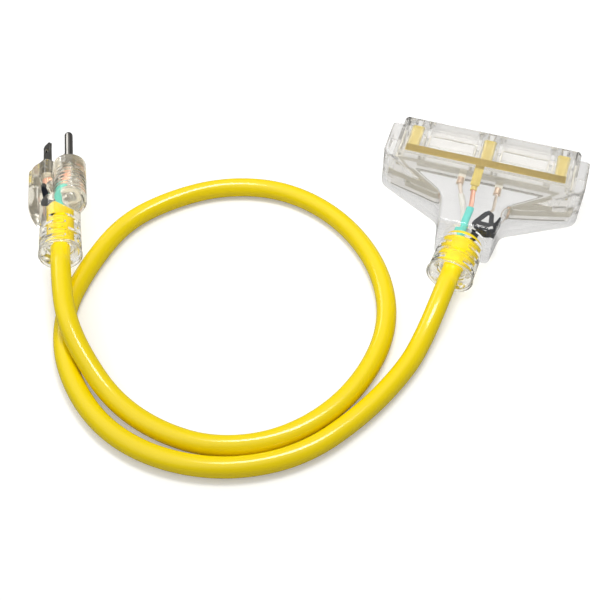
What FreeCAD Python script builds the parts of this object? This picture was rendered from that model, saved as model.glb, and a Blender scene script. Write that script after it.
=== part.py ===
import FreeCAD, Part
import math
import os

from FreeCAD import Placement, Rotation, Vector

# Short, heavy three-conductor extension cord with clear moulded ends. Millimetres, +Z up.
# The flat three-outlet head lies on the floor with its outlets facing +Y. The origin is on the
# floor, under the middle of the head with its strain relief.

# Cord: jacket, insulated wires and stranded copper
cord_diameter = 10.9
wire_diameter = 4.2
copper_diameter = 2.8

# One outlet: two blade slots and a round ground hole
blade_spacing = 12.7
ground_offset = 11.9
ground_hole_diameter = 5.3
blade_slot_gap = 2.0
hot_slot_height = 7.0
neutral_slot_height = 8.6

# Head: hard core with a collar in front, clear moulding around the rest
head_thickness = 29.0
head_width = 117.0
head_side_wall = 5.7
outlet_end_margin = 9.4
collar_depth = 8.0
collar_step = 0.8
collar_corner_radius = 3.0
front_wall = 4.5
chamber_back = 28.0
cover_thickness = 3.0
cover_inset = 2.8
side_depth = 33.5
side_corner_radius = 8.0
shoulder_drop = 22.5
neck_front_half_width = 18.5
neck_back_half_width = 15.5
neck_fillet_radius = 9.0
neck_back = 77.0
edge_radius = 2.4

# Brass in the head
strip_metal = 0.8
contact_height = 6.4
fork_fit = 0.3
bus_depth = 25.8
bus_height = 3.8
bus_gap = 0.8
ground_strip_width = 5.2
ground_tail_x = -2.0
ground_tail_back = 44.0
side_tail_x = 11.0
side_tail_back = 40.0
side_tail_width = 4.4

# Crimps and stripped wire ends
crimp_wall = 0.5
crimp_length = 5.0
seat_gap = 0.1
head_bare_length = 5.0
ground_bare_length = 13.0
plug_bare_length = 0.5
head_wire_lead = 6.3
ground_wire_lead = 2.5
plug_wire_lead = 3.2
wire_bulge = 9.0

# Head strain relief: leans with the cord and droops to the floor
cable_height = 15.3
head_relief_length = 25.8
head_relief_yaw = 5.0
head_relief_droop = 4.0
head_relief_root_radius = 12.2
head_relief_rim_radius = 13.3
head_relief_embed = 4.0
jacket_in_neck = 0.5

# Both strain reliefs
root_straight = 2.0
rim_wall = 1.0
rim_length = 2.0
bell_depth = 5.0
bell_floor_radius = 7.0
slot_width = 1.6
slot_depth = 3.0
slot_pitch = 5.0
slot_angle = 130.0
slot_rows = 4

# Plug, in its own frame: blades point along +Y, the ground pin is on the +Z side
blade_width = 6.35
blade_metal = 1.5
blade_reach = 17.5
blade_tip_chamfer = 1.3
blade_hole_diameter = 3.2
blade_hole_reach = 11.7
pin_diameter = 4.76
pin_reach = 21.4
pin_neck_diameter = 4.2
pin_neck_show = 0.3
blade_root = 9.0
plug_base_half_width = 12.2
plug_top_half_width = 10.4
plug_base = 12.2
plug_top = 5.2
plug_corner_radius = 2.5
plug_straight = 25.0
plug_body_length = 43.0
plug_end_half_width = 9.6
waist_start = 11.0
waist_end = 31.0
waist_half_width = 6.2
waist_level = 1.5
boss_radius = 9.2
boss_rise = 0.7
boss_setback = 5.5
boss_straight = 34.5
boss_dome = 8.0
ring_start = 10.0
ring_pitch = 2.5
ring_depth = 0.45
ring_count = 8
plug_cable_offset = 3.3
plug_relief_embed = 13.0
plug_length = 68.6
plug_relief_root_radius = 11.2
plug_relief_rim_radius = 12.1
plug_jacket_start = 26.0

# Where the plug lies: its strain relief's rim, and how it is turned
plug_rim_x = -208.6
plug_rim_y = -103.3
plug_turn = 25.5
plug_pitch = 0.4
plug_roll = 46.0
floor_gap = 0.05

# Shares and margins used by the shapes
arc_share = 0.45
overshoot = 1.0
plug_side_sag = 0.22

# The free cord's route between its two ends, chosen by eye, head first. It leaves each end
# straight for a short way.
cord_lead = 20.0
cord_floor = cord_diameter / 2 + floor_gap
cord_points = [
    (-6.5, -87.0, 6.4),
    (-10.5, -110.0, cord_floor),
    (-24.5, -144.0, cord_floor),
    (-47.0, -176.5, cord_floor),
    (-81.0, -195.5, cord_floor),
    (-119.0, -199.3, cord_floor),
    (-153.0, -188.0, cord_floor),
    (-182.0, -161.5, cord_floor),
    (-196.4, -130.0, cord_floor),
    (-197.2, -96.0, cord_floor),
    (-191.0, -61.0, cord_floor),
    (-173.0, -36.0, cord_floor),
    (-147.0, -16.0, cord_floor),
    (-113.0, -7.8, cord_floor),
    (-78.5, -16.6, cord_floor),
    (-49.0, -39.5, cord_floor),
    (-30.5, -70.5, cord_floor),
    (-26.0, -104.0, cord_floor),
    (-36.0, -142.0, cord_floor),
    (-59.0, -171.0, cord_floor),
    (-90.0, -185.3, cord_floor),
    (-121.0, -184.5, cord_floor),
    (-149.0, -174.0, cord_floor),
    (-173.0, -156.5, 12.6),
    (-188.4, -140.5, 17.8),
]

# Derived places
core_width = head_width - 2 * head_side_wall
outlet_pitch = core_width / 2 - outlet_end_margin
hole_radius = ground_hole_diameter / 2
blade_row_height = (head_thickness - ground_offset - hole_radius + neutral_slot_height / 2) / 2
ground_row_height = blade_row_height + ground_offset
contact_top = ground_row_height + hole_radius + strip_metal
core_top = contact_top + strip_metal
core_bottom = head_thickness - core_top
cover_back = chamber_back + cover_thickness
crimp_radius = copper_diameter / 2 + crimp_wall
outlets = (("left", -outlet_pitch), ("centre", 0.0), ("right", outlet_pitch))


def head_relief_direction():
    """The way the head's cable leaves: back along -Y, turned and tilted down."""
    yaw = math.radians(head_relief_yaw)
    droop = math.radians(head_relief_droop)
    return Vector(-math.sin(yaw) * math.cos(droop), -math.cos(yaw) * math.cos(droop), -math.sin(droop))


def head_rear_reach():
    """How far the tilted rim disc reaches behind the neck's rear face."""
    way = head_relief_direction()
    return -way.y * head_relief_length + head_relief_rim_radius * math.sqrt(1 - way.y ** 2)


face_y = (neck_back + head_rear_reach()) / 2


def box(x0, x1, depth0, depth1, z0, z1):
    """A box between two depths behind the outlet face."""
    return Part.makeBox(x1 - x0, depth1 - depth0, z1 - z0, Vector(x0, face_y - depth1, z0))


def rod(start, end, diameter):
    """A round rod between two points."""
    way = end - start
    return Part.makeCylinder(diameter / 2, way.Length, start, way)


def tangent_path(points):
    """Straight runs joined by tangent arcs. Each arc takes 0.45 of the shorter run at its point, and
    its radius is that length over the tangent of half the turn. Gives the wire, its length and the
    radii."""
    edges = []
    radii = []
    length = 0.0
    last = points[0]
    for before, corner, after in zip(points, points[1:], points[2:]):
        inward = (before - corner).normalize()
        onward = (after - corner).normalize()
        half_turn = (math.pi - inward.getAngle(onward)) / 2
        cut = arc_share * min((corner - before).Length, (after - corner).Length)
        radius = cut / math.tan(half_turn)
        start = corner + inward * cut
        end = corner + onward * cut
        middle_way = (inward + onward).normalize()
        middle = corner + middle_way * (radius / math.cos(half_turn) - radius)
        edges.append(Part.LineSegment(last, start).toShape())
        edges.append(Part.Arc(start, middle, end).toShape())
        radii.append(radius)
        last = end
    edges.append(Part.LineSegment(last, points[-1]).toShape())
    for edge in edges:
        length += edge.Length
    return Part.Wire(edges), length, radii


def tube(points, diameter):
    """A solid round tube along the tangent path through the points."""
    path, length, radii = tangent_path(points)
    ring = Part.Wire(Part.Circle(points[0], points[1] - points[0], diameter / 2).toShape())
    solid = path.makePipeShell([ring], True, False)
    if solid.Volume < 0:
        solid.reverse()
    return solid, length, radii


def revolve_profile(profile):
    """Turns a closed outline of (radius, height) points about Z."""
    corners = [Vector(r, 0, h) for r, h in profile]
    face = Part.Face(Part.makePolygon(corners + corners[:1]))
    return face.revolve(Vector(0, 0, 0), Vector(0, 0, 1), 360)


# Head, plastic pieces


def head_outline():
    """The clear moulding's plan: straight sides, rounded corners, shoulders that slope back to
    the neck, and a neck that narrows towards its rear."""
    half = head_width / 2
    front = face_y - collar_depth
    side = face_y - side_depth
    shoulder = side - shoulder_drop
    rear = face_y - neck_back
    corners = [
        (-half, front),
        (half, front),
        (half, side),
        (neck_front_half_width, shoulder),
        (neck_back_half_width, rear),
        (-neck_back_half_width, rear),
        (-neck_front_half_width, shoulder),
        (-half, side),
    ]
    points = [Vector(x, y, 0) for x, y in corners]
    return Part.Face(Part.makePolygon(points + points[:1]))


def vertical_edges_at(shape, half_width, y, reach):
    """The upright edges of a shape that stand near (+-half_width, y)."""
    chosen = []
    for edge in shape.Edges:
        low, high = edge.BoundBox.ZMin, edge.BoundBox.ZMax
        centre = edge.BoundBox.Center
        upright = high - low > head_thickness / 2 and edge.BoundBox.XLength + edge.BoundBox.YLength < 0.01
        if upright and abs(abs(centre.x) - half_width) < reach and abs(centre.y - y) < reach:
            chosen.append(edge)
    return chosen


def rim_edges(shape, levels):
    """The edges of a shape that lie flat at one of the given heights."""
    chosen = []
    for edge in shape.Edges:
        bound = edge.BoundBox
        if bound.ZLength < 0.01 and any(abs(bound.ZMin - level) < 0.01 for level in levels):
            chosen.append(edge)
    return chosen


def head_block():
    """The moulding's outer form before anything is let into it."""
    block = head_outline().extrude(Vector(0, 0, head_thickness))
    side = face_y - side_depth
    shoulder = side - shoulder_drop
    corners = vertical_edges_at(block, head_width / 2, side, 1.0)
    block = block.makeFillet(side_corner_radius, corners)
    hollows = vertical_edges_at(block, neck_front_half_width, shoulder, 1.0)
    block = block.makeFillet(neck_fillet_radius, hollows)
    return block.makeFillet(edge_radius, rim_edges(block, (0.0, head_thickness)))


def core_envelope():
    """The core's outer form: a collar in front and a lower block behind it."""
    half = core_width / 2
    collar = box(-half, half, 0, collar_depth, collar_step, head_thickness - collar_step)
    collar = collar.makeFillet(collar_corner_radius, vertical_edges_at(collar, half, face_y, 1.0))
    rear = box(-half, half, collar_depth, chamber_back, core_bottom, core_top)
    return collar.fuse(rear).removeSplitter()


def fork_half_width():
    return blade_slot_gap / 2 + strip_metal


def ground_half_width():
    return hole_radius + strip_metal


def hot_bus_levels():
    top = blade_row_height - bus_gap / 2
    return top - bus_height, top


def neutral_bus_levels():
    low = blade_row_height + bus_gap / 2
    return low, low + bus_height


def receptacle_core():
    """The hard block: slots and ground holes in its front wall, a cell behind each, a chamber for
    the two lower bus bars and a channel on top for the ground strip."""
    core = core_envelope()
    low = blade_row_height - contact_height / 2 - fork_fit
    high = blade_row_height + contact_height / 2 + fork_fit
    cuts = []
    for _, x in outlets:
        slots = ((x + blade_spacing / 2, hot_slot_height), (x - blade_spacing / 2, neutral_slot_height))
        for slot_x, slot_height in slots:
            cuts.append(box(slot_x - blade_slot_gap / 2, slot_x + blade_slot_gap / 2, -overshoot, front_wall,
                            blade_row_height - slot_height / 2, blade_row_height + slot_height / 2))
            cell = fork_half_width() + fork_fit
            cuts.append(box(slot_x - cell, slot_x + cell, front_wall, bus_depth, low, high))
        mouth = Vector(x, face_y + overshoot, ground_row_height)
        cuts.append(rod(mouth, mouth - Vector(0, front_wall + 2 * overshoot, 0), ground_hole_diameter))
        cell = ground_half_width() + fork_fit
        cuts.append(box(x - cell, x + cell, front_wall, bus_depth,
                        ground_row_height - hole_radius - fork_fit, contact_top))
    reach = outlet_pitch + blade_spacing / 2 + fork_half_width() + fork_fit
    cuts.append(box(-reach, reach, bus_depth, chamber_back + overshoot,
                    hot_bus_levels()[0] - fork_fit, neutral_bus_levels()[1] + fork_fit))
    strip = outlet_pitch + ground_half_width()
    cuts.append(box(-strip, strip, bus_depth - ground_strip_width, bus_depth,
                    contact_top, core_top + overshoot))
    cuts.append(ground_tail())
    return core.cut(Part.makeCompound(cuts))


def cover_plate():
    half = core_width / 2 - cover_inset
    return box(-half, half, chamber_back, cover_back, core_bottom, core_top)


def core_cover():
    """The plate behind the chamber, with an opening for each tail."""
    return cover_plate().cut(Part.makeCompound([ground_tail(), hot_tail(), neutral_tail()]))


# Head, brass pieces


def ground_tail():
    half = ground_strip_width / 2
    return box(ground_tail_x - half, ground_tail_x + half, bus_depth, ground_tail_back, contact_top, core_top)


def hot_tail():
    half = side_tail_width / 2
    top = hot_bus_levels()[1]
    return box(side_tail_x - half, side_tail_x + half, bus_depth, side_tail_back, top - strip_metal, top)


def neutral_tail():
    half = side_tail_width / 2
    top = neutral_bus_levels()[1]
    return box(-side_tail_x - half, -side_tail_x + half, bus_depth, side_tail_back, top - strip_metal, top)


def ground_bus_bar():
    """The flat strip on top of the core that joins the three ground clips, and its tail."""
    reach = outlet_pitch + ground_half_width()
    strip = box(-reach, reach, bus_depth - ground_strip_width, bus_depth, contact_top, core_top)
    return strip.fuse(ground_tail()).removeSplitter()


def ground_contact(x):
    """A clip like an upturned channel: the ground pin goes between its sides."""
    half = ground_half_width()
    channel = box(x - half, x + half, front_wall + fork_fit, bus_depth,
                  ground_row_height - hole_radius, contact_top)
    bore = box(x - hole_radius, x + hole_radius, front_wall, bus_depth + overshoot,
               ground_row_height - hole_radius - overshoot, ground_row_height + hole_radius)
    return channel.cut(bore)


def blade_contact(x, levels):
    """A fork: two leaves, one each side of the blade, joined by a web behind. The rear of the fork
    is only as high as the web, so it meets its own bus bar and clears the other."""
    half = fork_half_width()
    low = blade_row_height - contact_height / 2
    high = blade_row_height + contact_height / 2
    leaf_back = bus_depth - 2 * strip_metal
    web_low = max(low, levels[0])
    web_high = min(high, levels[1])
    fork = box(x - half, x + half, front_wall + fork_fit, leaf_back, low, high)
    fork = fork.fuse(box(x - half, x + half, leaf_back, bus_depth, web_low, web_high))
    inner = blade_slot_gap / 2
    gap = box(x - inner, x + inner, front_wall, bus_depth - strip_metal, low - overshoot, high + overshoot)
    return fork.cut(gap)


def side_bus_bar(side, levels, tail):
    """A strip on edge across the backs of three forks, and its tail."""
    middle = side * blade_spacing / 2
    reach = outlet_pitch + fork_half_width()
    strip = box(middle - reach, middle + reach, bus_depth, bus_depth + strip_metal, *levels)
    return strip.fuse(tail).removeSplitter()


# Wires, shared by both ends


def jacket_seats():
    """Where the three wires leave the jacket, as offsets from its centre."""
    ring = wire_diameter / math.sqrt(3) + seat_gap
    return {
        "ground": (0.0, ring),
        "hot": (wire_diameter / 2 + seat_gap, -ring / 2),
        "neutral": (-wire_diameter / 2 - seat_gap, -ring / 2),
    }


def wire_pieces(points, bare_length):
    """A wire from its crimp to the jacket: the copper runs all the way, and the insulation
    starts a bare length behind the crimp. The third shape is the crimp's barrel."""
    copper, _, _ = tube(points, copper_diameter)
    whole, _, _ = tube(points, wire_diameter)
    way = (points[1] - points[0]).normalize()
    crimp_end = points[0] + way * crimp_length
    bare = rod(points[0] - way, crimp_end + way * bare_length, 2 * wire_diameter)
    insulation = whole.cut(bare)
    barrel = rod(points[0], crimp_end, 2 * crimp_radius).cut(rod(points[0], crimp_end, copper_diameter))
    return copper, insulation.cut(copper), barrel, insulation


def head_cable_root():
    return Vector(0, face_y - neck_back, cable_height)


def head_wire_lengths(name):
    """A head wire's stripped length and the straight length of insulation after it."""
    if name == "ground":
        return ground_bare_length, ground_wire_lead
    return head_bare_length, head_wire_lead


def head_wire_points():
    """Each head wire's path: straight back from its crimp, a bulge, then into the jacket."""
    root = head_cable_root()
    way = head_relief_direction()
    mouth = root - way * jacket_in_neck
    side = Vector(way.y, -way.x, 0).normalize() * -1
    up = side.cross(way)
    seats = jacket_seats()
    hot_z = hot_bus_levels()[1] + crimp_radius + seat_gap
    neutral_z = neutral_bus_levels()[1] + crimp_radius + seat_gap
    ground_z = contact_top - crimp_radius - seat_gap
    starts = {
        "ground": Vector(ground_tail_x, face_y - ground_tail_back + crimp_length, ground_z),
        "hot": Vector(side_tail_x, face_y - side_tail_back + crimp_length, hot_z),
        "neutral": Vector(-side_tail_x, face_y - side_tail_back + crimp_length, neutral_z),
    }
    bulges = {"ground": 0.0, "hot": wire_bulge, "neutral": -wire_bulge}
    paths = {}
    for name, start in starts.items():
        across, above = seats[name]
        seat = mouth + side * across + up * above
        bare, lead = head_wire_lengths(name)
        straight = start - Vector(0, crimp_length + bare + lead, 0)
        turned_in = seat - way * wire_diameter
        bend = Vector(bulges[name], (straight.y + turned_in.y) / 2, (start.z + 2 * seat.z) / 3)
        paths[name] = [start, straight, bend, turned_in, seat]
    return paths


# Strain reliefs


def relief_sleeve(length, embed, root_radius, rim_radius):
    """A sleeve along +Z from its root to its rim: straight where it is moulded in, then a slight
    cone that ends in a thin flared rim with a bell-shaped hollow. It is slotted part of the way
    round on alternate sides so that it bends."""
    neck_radius = root_radius + (rim_radius - root_radius) * 0.5
    floor = length - bell_depth
    outline = [
        (cord_diameter / 2, -embed),
        (root_radius, -embed),
        (root_radius, root_straight),
        (neck_radius, length - rim_length),
        (rim_radius, length),
        (rim_radius - rim_wall, length),
        (bell_floor_radius, floor),
        (cord_diameter / 2, floor),
    ]
    sleeve = revolve_profile(outline)
    cuts = []
    last = floor - slot_width
    for row in range(slot_rows):
        level = last - row * slot_pitch
        for side in (0, 180):
            turn = side + 90 * (row % 2) - slot_angle / 2
            ring = Part.makeCylinder(rim_radius + overshoot, slot_width, Vector(0, 0, level),
                                     Vector(0, 0, 1), slot_angle)
            ring = ring.cut(Part.makeCylinder(root_radius - slot_depth, slot_width, Vector(0, 0, level)))
            ring.rotate(Vector(0, 0, 0), Vector(0, 0, 1), turn)
            cuts.append(ring)
    return sleeve.cut(Part.makeCompound(cuts))


def relief_envelope(length, embed, root_radius):
    """The sleeve's outside without slots or bore, for letting it into its moulding."""
    return Part.makeCylinder(root_radius, length + embed, Vector(0, 0, -embed))


def head_relief_placement():
    return Placement(head_cable_root(), Rotation(Vector(0, 0, 1), head_relief_direction()))


def head_strain_relief():
    sleeve = relief_sleeve(head_relief_length, head_relief_embed, head_relief_root_radius,
                           head_relief_rim_radius)
    sleeve.Placement = head_relief_placement()
    return sleeve


def head_jacket_end():
    """The jacket inside the neck and the sleeve, up to the floor of the bell."""
    root = head_cable_root()
    way = head_relief_direction()
    return rod(root - way * jacket_in_neck, root + way * (head_relief_length - bell_depth), cord_diameter)


def head_exit():
    """Where the free cord starts: the floor of the head strain relief's bell."""
    return head_cable_root() + head_relief_direction() * (head_relief_length - bell_depth)


# Plug, built in its own frame and then laid down


def plug_section(top_limit):
    """The plug body's cross-section up to a height: a block that narrows towards its top."""
    slope = (plug_base_half_width - plug_top_half_width) / (plug_base + plug_top)
    upper = plug_base_half_width - slope * (top_limit + plug_base)
    corners = [
        (-plug_base_half_width, -plug_base),
        (plug_base_half_width, -plug_base),
        (upper, top_limit),
        (-upper, top_limit),
    ]
    points = [Vector(x, 0, z) for x, z in corners]
    return Part.Face(Part.makePolygon(points + points[:1]))


def side_curve_prism(half_start, half_end, start, end, low, high):
    """A plan shape, straight sided to one depth and then curving in to another, as a tall prism."""
    sag = (half_start - half_end) * plug_side_sag
    middle = (start + end) / 2
    bow = (half_start + half_end) / 2 + sag
    right = [Vector(half_start, 1, low), Vector(half_start, -start, low)]
    edges = [
        Part.LineSegment(Vector(-half_start, 1, low), right[0]).toShape(),
        Part.LineSegment(right[0], right[1]).toShape(),
        Part.Arc(right[1], Vector(bow, -middle, low), Vector(half_end, -end, low)).toShape(),
        Part.LineSegment(Vector(half_end, -end, low), Vector(-half_end, -end, low)).toShape(),
        Part.Arc(Vector(-half_end, -end, low), Vector(-bow, -middle, low), Vector(-half_start, -start, low)).toShape(),
        Part.LineSegment(Vector(-half_start, -start, low), Vector(-half_start, 1, low)).toShape(),
    ]
    return Part.Face(Part.Wire(edges)).extrude(Vector(0, 0, high - low))


def ground_boss():
    """The round boss that carries the ground pin, set back from the base's front: grip rings on its
    side and a domed rear end."""
    outline = [Vector(0, 0, boss_setback), Vector(boss_radius, 0, boss_setback)]
    for ring in range(ring_count):
        start = ring_start + ring * ring_pitch
        outline.append(Vector(boss_radius, 0, start))
        outline.append(Vector(boss_radius - ring_depth, 0, start + ring_pitch * 0.25))
        outline.append(Vector(boss_radius, 0, start + ring_pitch * 0.5))
    outline.append(Vector(boss_radius, 0, boss_straight))
    edges = [Part.LineSegment(a, b).toShape() for a, b in zip(outline, outline[1:])]
    lean = math.radians(45)
    middle = Vector(boss_radius * math.sin(lean), 0, boss_straight + boss_dome * math.cos(lean))
    tip = Vector(0, 0, boss_straight + boss_dome)
    curve = Part.BSplineCurve()
    curve.interpolate([outline[-1], middle, tip], InitialTangent=Vector(0, 0, 1), FinalTangent=Vector(-1, 0, 0))
    edges.append(curve.toShape())
    edges.append(Part.LineSegment(tip, outline[0]).toShape())
    boss = Part.Face(Part.Wire(edges)).revolve(Vector(0, 0, 0), Vector(0, 0, 1), 360)
    axis = Vector(0, 0, ground_offset + boss_rise)
    boss.Placement = Placement(axis, Rotation(Vector(0, 0, 1), Vector(0, -1, 0)))
    return boss


def plug_block():
    """The plug body's outer form: a broad base, a waisted upper part and the ground boss."""
    full = plug_section(plug_top).extrude(Vector(0, -plug_body_length, 0))
    long_edges = [edge for edge in full.Edges if abs(edge.BoundBox.YLength - plug_body_length) < 0.01]
    full = full.makeFillet(plug_corner_radius, long_edges)
    base_plan = side_curve_prism(plug_base_half_width + overshoot, plug_end_half_width, plug_straight,
                                 plug_body_length, -plug_base - overshoot, -waist_level)
    waist_plan = side_curve_prism(plug_base_half_width + overshoot, waist_half_width, waist_start, waist_end,
                                  -waist_level, plug_top + overshoot)
    return full.common(base_plan.fuse(waist_plan)).fuse(ground_boss()).removeSplitter()


def plug_relief_placement():
    return Placement(Vector(0, -plug_body_length, plug_cable_offset), Rotation(Vector(0, 0, 1), Vector(0, -1, 0)))


def blade(x):
    """A flat blade with chamfered tip corners and a hole near the tip."""
    low = -blade_width / 2
    corners = [
        (low, -blade_root),
        (-low, -blade_root),
        (-low, blade_reach - blade_tip_chamfer),
        (-low - blade_tip_chamfer, blade_reach),
        (low + blade_tip_chamfer, blade_reach),
        (low, blade_reach - blade_tip_chamfer),
    ]
    points = [Vector(x - blade_metal / 2, y, z) for z, y in corners]
    body = Part.Face(Part.makePolygon(points + points[:1])).extrude(Vector(blade_metal, 0, 0))
    eye = Vector(x - blade_metal, blade_hole_reach, 0)
    return body.cut(rod(eye, eye + Vector(2 * blade_metal, 0, 0), blade_hole_diameter))


def ground_pin():
    """A round pin with a domed end, on a thinner neck that the moulding grips."""
    radius = pin_diameter / 2
    root = Vector(0, -blade_root, ground_offset)
    collar = Vector(0, pin_neck_show, ground_offset)
    shoulder = Vector(0, pin_reach - radius, ground_offset)
    pin = rod(collar, shoulder, pin_diameter).fuse(Part.makeSphere(radius, shoulder))
    return pin.fuse(rod(root, collar, pin_neck_diameter)).removeSplitter()


def plug_wire_points():
    """Each plug wire's path: from the tail of its blade or pin, in to the jacket."""
    seats = jacket_seats()
    starts = {
        "ground": Vector(0, -blade_root - seat_gap, ground_offset),
        "hot": Vector(-blade_spacing / 2, -blade_root - seat_gap, 0),
        "neutral": Vector(blade_spacing / 2, -blade_root - seat_gap, 0),
    }
    mirror = {"ground": 1, "hot": -1, "neutral": -1}
    paths = {}
    for name, start in starts.items():
        across, above = seats[name]
        seat = Vector(mirror[name] * across, -plug_jacket_start, plug_cable_offset + above)
        straight = start - Vector(0, crimp_length + plug_bare_length + plug_wire_lead, 0)
        turned_in = seat + Vector(0, wire_diameter, 0)
        paths[name] = [start, straight, turned_in, seat]
    return paths


def plug_jacket_end():
    start = Vector(0, -plug_jacket_start, plug_cable_offset)
    end = Vector(0, -plug_length + bell_depth, plug_cable_offset)
    return rod(start, end, cord_diameter)


def plug_placement(body):
    """Lays the plug down: turned, tilted and rolled, with its lowest point just on the floor and
    the middle of its rim at its place in plan."""
    turn = Rotation(Vector(0, 0, 1), plug_turn)
    turn = turn.multiply(Rotation(Vector(1, 0, 0), plug_pitch))
    turn = turn.multiply(Rotation(Vector(0, 1, 0), plug_roll))
    turned = body.copy()
    turned.Placement = Placement(Vector(0, 0, 0), turn)
    lift = floor_gap - turned.optimalBoundingBox().ZMin
    rim = turn.multVec(Vector(0, -plug_length, plug_cable_offset))
    return Placement(Vector(plug_rim_x - rim.x, plug_rim_y - rim.y, lift), turn)


# Build every piece

pieces = {}

head_sleeve_outer = relief_envelope(head_relief_length, head_relief_embed, head_relief_root_radius)
head_sleeve_outer.Placement = head_relief_placement()
pieces["head_strain_relief"] = head_strain_relief()
pieces["head_jacket_end"] = head_jacket_end()
pieces["receptacle_core"] = receptacle_core()
pieces["core_cover"] = core_cover()
pieces["ground_bus_bar"] = ground_bus_bar()
pieces["hot_bus_bar"] = side_bus_bar(1, hot_bus_levels(), hot_tail())
pieces["neutral_bus_bar"] = side_bus_bar(-1, neutral_bus_levels(), neutral_tail())
for place, x in outlets:
    pieces["ground_contact_" + place] = ground_contact(x)
    pieces["hot_contact_" + place] = blade_contact(x + blade_spacing / 2, hot_bus_levels())
    pieces["neutral_contact_" + place] = blade_contact(x - blade_spacing / 2, neutral_bus_levels())

head_let_in = [core_envelope(), cover_plate(), head_sleeve_outer, pieces["head_jacket_end"]]
head_let_in.extend([ground_tail(), hot_tail(), neutral_tail()])
head_barrels = []
for name, points in head_wire_points().items():
    copper, insulation, barrel, whole = wire_pieces(points, head_wire_lengths(name)[0])
    head_barrels.append(barrel)
    head_let_in.extend([barrel, copper, whole])
    pieces["head_" + name + "_copper"] = copper
    pieces["head_" + name + "_wire"] = insulation
pieces["head_crimp_barrels"] = Part.makeCompound(head_barrels)
overmould = head_block()
for shape in head_let_in:
    overmould = overmould.cut(shape)
pieces["head_overmould"] = overmould

plug_form = plug_block()
plug_relief_length = plug_length - plug_body_length
plug_sleeve_outer = relief_envelope(plug_relief_length, plug_relief_embed, plug_relief_root_radius)
plug_sleeve_outer.Placement = plug_relief_placement()
plug_sleeve = relief_sleeve(plug_relief_length, plug_relief_embed, plug_relief_root_radius,
                            plug_relief_rim_radius)
plug_sleeve.Placement = plug_relief_placement()
plug_pieces = {"plug_strain_relief": plug_sleeve}
plug_pieces["plug_jacket_end"] = plug_jacket_end()
plug_pieces["hot_blade"] = blade(-blade_spacing / 2)
plug_pieces["neutral_blade"] = blade(blade_spacing / 2)
plug_pieces["ground_pin"] = ground_pin()
plug_let_in = [plug_sleeve_outer] + [plug_pieces[key] for key in ("plug_jacket_end", "hot_blade",
                                                                "neutral_blade", "ground_pin")]
plug_barrels = []
for name, points in plug_wire_points().items():
    copper, insulation, barrel, whole = wire_pieces(points, plug_bare_length)
    plug_barrels.append(barrel)
    plug_let_in.extend([barrel, copper, whole])
    plug_pieces["plug_" + name + "_copper"] = copper
    plug_pieces["plug_" + name + "_wire"] = insulation
plug_pieces["plug_crimp_barrels"] = Part.makeCompound(plug_barrels)
lay = plug_placement(plug_form)
for shape in plug_let_in:
    plug_form = plug_form.cut(shape)
plug_pieces["plug_body"] = plug_form
for name, shape in plug_pieces.items():
    shape.Placement = lay.multiply(shape.Placement)
    pieces[name] = shape

plug_exit = lay.multVec(Vector(0, -plug_length + bell_depth, plug_cable_offset))
plug_lead = lay.multVec(Vector(0, -plug_length + bell_depth - cord_lead, plug_cable_offset))
head_lead = head_exit() + head_relief_direction() * cord_lead
route = [head_exit(), head_lead] + [Vector(*point) for point in cord_points] + [plug_lead, plug_exit]
pieces["cord"], cord_length, cord_radii = tube(route, cord_diameter)

os.makedirs("parts", exist_ok=True)
for name, shape in pieces.items():
    shape.exportStep("parts/" + name + ".step")
    print(name, "valid", shape.isValid(), "solids", len(shape.Solids), "volume", round(shape.Volume, 1))

section = math.pi * cord_diameter ** 2 / 4
print("cord length", round(cord_length, 1), "least radius", round(min(cord_radii), 1))
print("cord radii", [round(radius) for radius in cord_radii])
print("cord volume over section times length", round(pieces["cord"].Volume / (section * cord_length), 5))
print("face y", round(face_y, 3))
print("plug", lay.Base, lay.Rotation.multVec(Vector(0, 1, 0)))
print("route", [tuple(round(value, 2) for value in point) for point in route])
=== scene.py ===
import math

import bpy
import bmesh
import numpy as np
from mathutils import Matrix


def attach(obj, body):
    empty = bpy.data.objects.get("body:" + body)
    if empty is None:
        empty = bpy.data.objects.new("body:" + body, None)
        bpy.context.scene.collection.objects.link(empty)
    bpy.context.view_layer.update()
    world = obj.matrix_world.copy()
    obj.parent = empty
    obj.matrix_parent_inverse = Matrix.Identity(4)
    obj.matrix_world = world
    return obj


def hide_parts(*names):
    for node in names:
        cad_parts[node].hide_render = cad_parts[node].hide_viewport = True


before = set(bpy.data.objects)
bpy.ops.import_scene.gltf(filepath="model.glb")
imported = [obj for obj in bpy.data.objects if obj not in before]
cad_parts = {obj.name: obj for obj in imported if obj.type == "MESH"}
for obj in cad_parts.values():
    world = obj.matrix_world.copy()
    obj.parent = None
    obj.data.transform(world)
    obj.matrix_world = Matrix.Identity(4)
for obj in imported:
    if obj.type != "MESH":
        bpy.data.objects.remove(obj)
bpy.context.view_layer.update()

# Camera: a 63 mm lens on a 36 mm square picture, 457 mm above the floor and 52 degrees down,
# turned 17.4 degrees to the left of the outlets' direction.
scene = bpy.context.scene


def add_object(name, data):
    """An object in the scene that shows the data."""
    item = bpy.data.objects.new(name, data)
    scene.collection.objects.link(item)
    return item


camera = add_object("camera", bpy.data.cameras.new("camera"))
camera.data.lens = 63.0
camera.data.sensor_width = 36.0
camera.data.clip_start = 0.01
camera.location = (0.02821, -0.42075, 0.45671)
camera.rotation_euler = (math.radians(90 - 52.0), 0, math.radians(17.36))
scene.camera = camera
scene.view_settings.view_transform = "Standard"


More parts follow.
